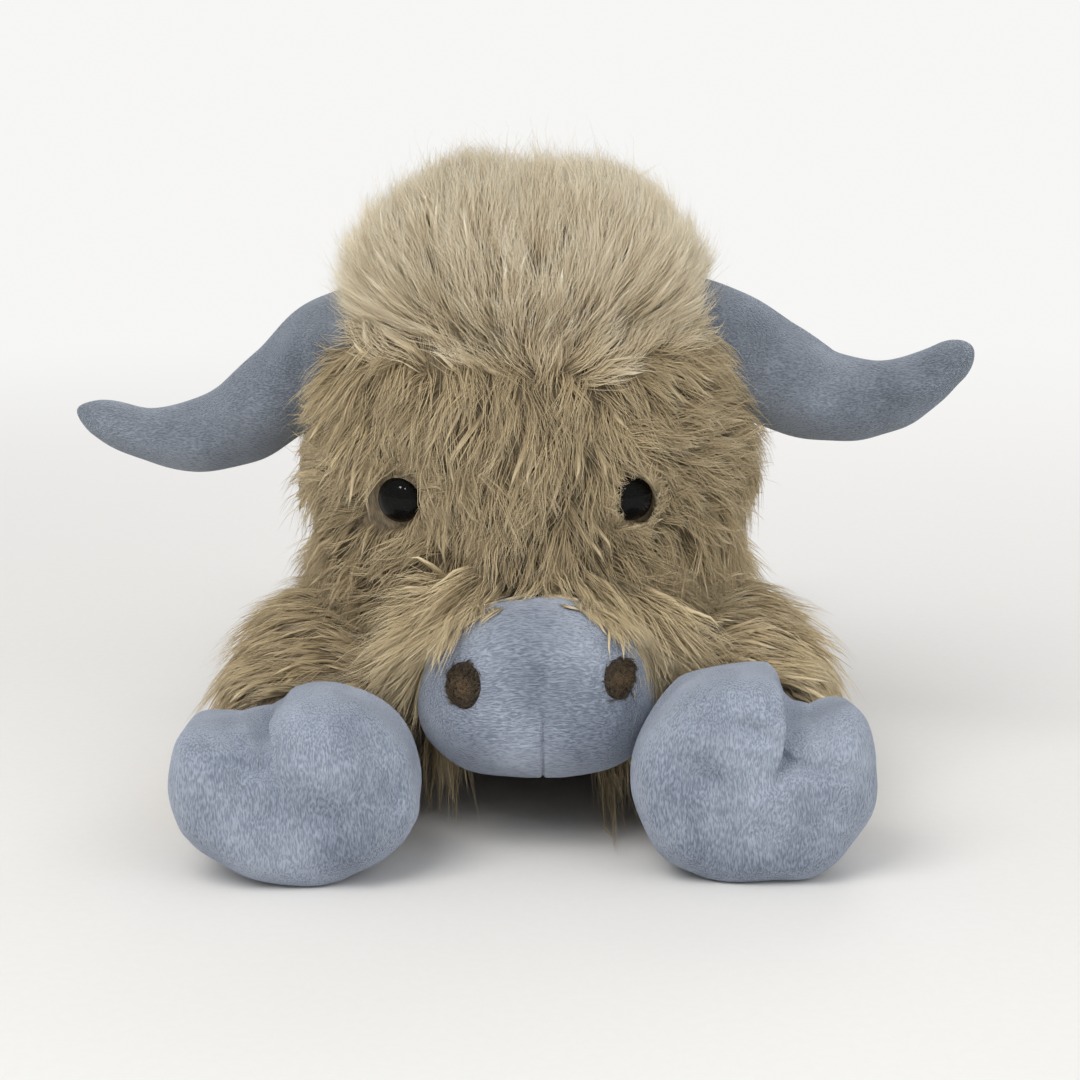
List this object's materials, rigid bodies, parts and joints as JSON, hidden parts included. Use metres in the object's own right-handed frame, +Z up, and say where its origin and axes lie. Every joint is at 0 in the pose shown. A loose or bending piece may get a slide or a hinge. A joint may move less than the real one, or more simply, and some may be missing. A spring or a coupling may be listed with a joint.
{
  "type": "plush cow",
  "caption": "Long-haired highland-style plush cow lying on its belly with splayed hooves, curved fabric horns and a fluffy topknot.",
  "frame": {"origin": "on the floor under the middle of the cow's outline", "axes": "+Z up, +Y towards the tail along the cow's length, and +X towards the cow's own left side"},
  "size_m": [0.3052, 0.3579, 0.2162],
  "materials": {
    "tan_fur": "long combed tan plush fur",
    "pale_fur": "long pale cream plush fur",
    "minky": "short-pile grey blue minky with fine ribs",
    "brown_plush": "fuzzy dark brown plush patch",
    "black_gloss": "glossy black safety eye",
    "washer_plastic": "plain white locking washer",
    "stuffing": "polyester fibre stuffing"
  },
  "bodies": {
    "torso": {"body_cover": "tan_fur", "body_stuffing": "stuffing"},
    "head": {"head_cover": "tan_fur", "head_stuffing": "stuffing", "topknot": "pale_fur", "muzzle_cover": "minky", "nostril_left": "brown_plush", "nostril_right": "brown_plush", "eye_left": "black_gloss", "eye_right": "black_gloss", "eye_washer_left": "washer_plastic", "eye_washer_right": "washer_plastic"},
    "left_horn": {"horn_left": "minky", "horn_stuffing_left": "stuffing"},
    "right_horn": {"horn_right": "minky", "horn_stuffing_right": "stuffing"},
    "left_ear": {"ear_left": "tan_fur"},
    "right_ear": {"ear_right": "tan_fur"},
    "left_front_leg": {"front_leg_left": "tan_fur", "front_hoof_left": "minky", "front_leg_stuffing_left": "stuffing"},
    "right_front_leg": {"front_leg_right": "tan_fur", "front_hoof_right": "minky", "front_leg_stuffing_right": "stuffing"},
    "left_hind_leg": {"hind_leg_left": "tan_fur", "hind_hoof_left": "minky", "hind_leg_stuffing_left": "stuffing"},
    "right_hind_leg": {"hind_leg_right": "tan_fur", "hind_hoof_right": "minky", "hind_leg_stuffing_right": "stuffing"},
    "tail_end": {"tail": "tan_fur", "tail_tuft": "tan_fur"}
  },
  "joints": [
    {"name": "head_nod", "type": "hinge", "parent": "torso", "child": "head", "pos_m": [0, 0.015, 0.104], "axis": [-1, 0, 0], "range_deg": [0, 12]},
    {"name": "horn_lift_left", "type": "hinge", "parent": "head", "child": "left_horn", "pos_m": [0.044, -0.053, 0.175], "axis": [0, -1, 0], "range_deg": [0, 10]},
    {"name": "horn_lift_right", "type": "hinge", "parent": "head", "child": "right_horn", "pos_m": [-0.044, -0.053, 0.173], "axis": [0, 1, 0], "range_deg": [0, 10]},
    {"name": "ear_swing_left", "type": "hinge", "parent": "head", "child": "left_ear", "pos_m": [0.0778, -0.0463, 0.11], "axis": [0, 0, -1], "range_deg": [0, 35], "stiffness_Nm_per_rad": 0.003},
    {"name": "ear_swing_right", "type": "hinge", "parent": "head", "child": "right_ear", "pos_m": [-0.0778, -0.0463, 0.11], "axis": [0, 0, 1], "range_deg": [0, 35], "stiffness_Nm_per_rad": 0.003},
    {"name": "front_leg_splay_left", "type": "hinge", "parent": "torso", "child": "left_front_leg", "pos_m": [0.094, 0.016, 0.035], "axis": [0, 0, 1], "range_deg": [0, 20], "stiffness_Nm_per_rad": 0.05},
    {"name": "front_leg_splay_right", "type": "hinge", "parent": "torso", "child": "right_front_leg", "pos_m": [-0.094, 0.016, 0.035], "axis": [0, 0, -1], "range_deg": [0, 20], "stiffness_Nm_per_rad": 0.05},
    {"name": "hind_leg_splay_left", "type": "hinge", "parent": "torso", "child": "left_hind_leg", "pos_m": [0.083, 0.068, 0.03], "axis": [0, 0, -1], "range_deg": [0, 20], "stiffness_Nm_per_rad": 0.05},
    {"name": "hind_leg_splay_right", "type": "hinge", "parent": "torso", "child": "right_hind_leg", "pos_m": [-0.083, 0.068, 0.03], "axis": [0, 0, 1], "range_deg": [0, 20], "stiffness_Nm_per_rad": 0.05},
    {"name": "tail_lift", "type": "hinge", "parent": "torso", "child": "tail_end", "pos_m": [0, 0.112, 0.0715], "axis": [1, 0, 0], "range_deg": [0, 60]}
  ]
}
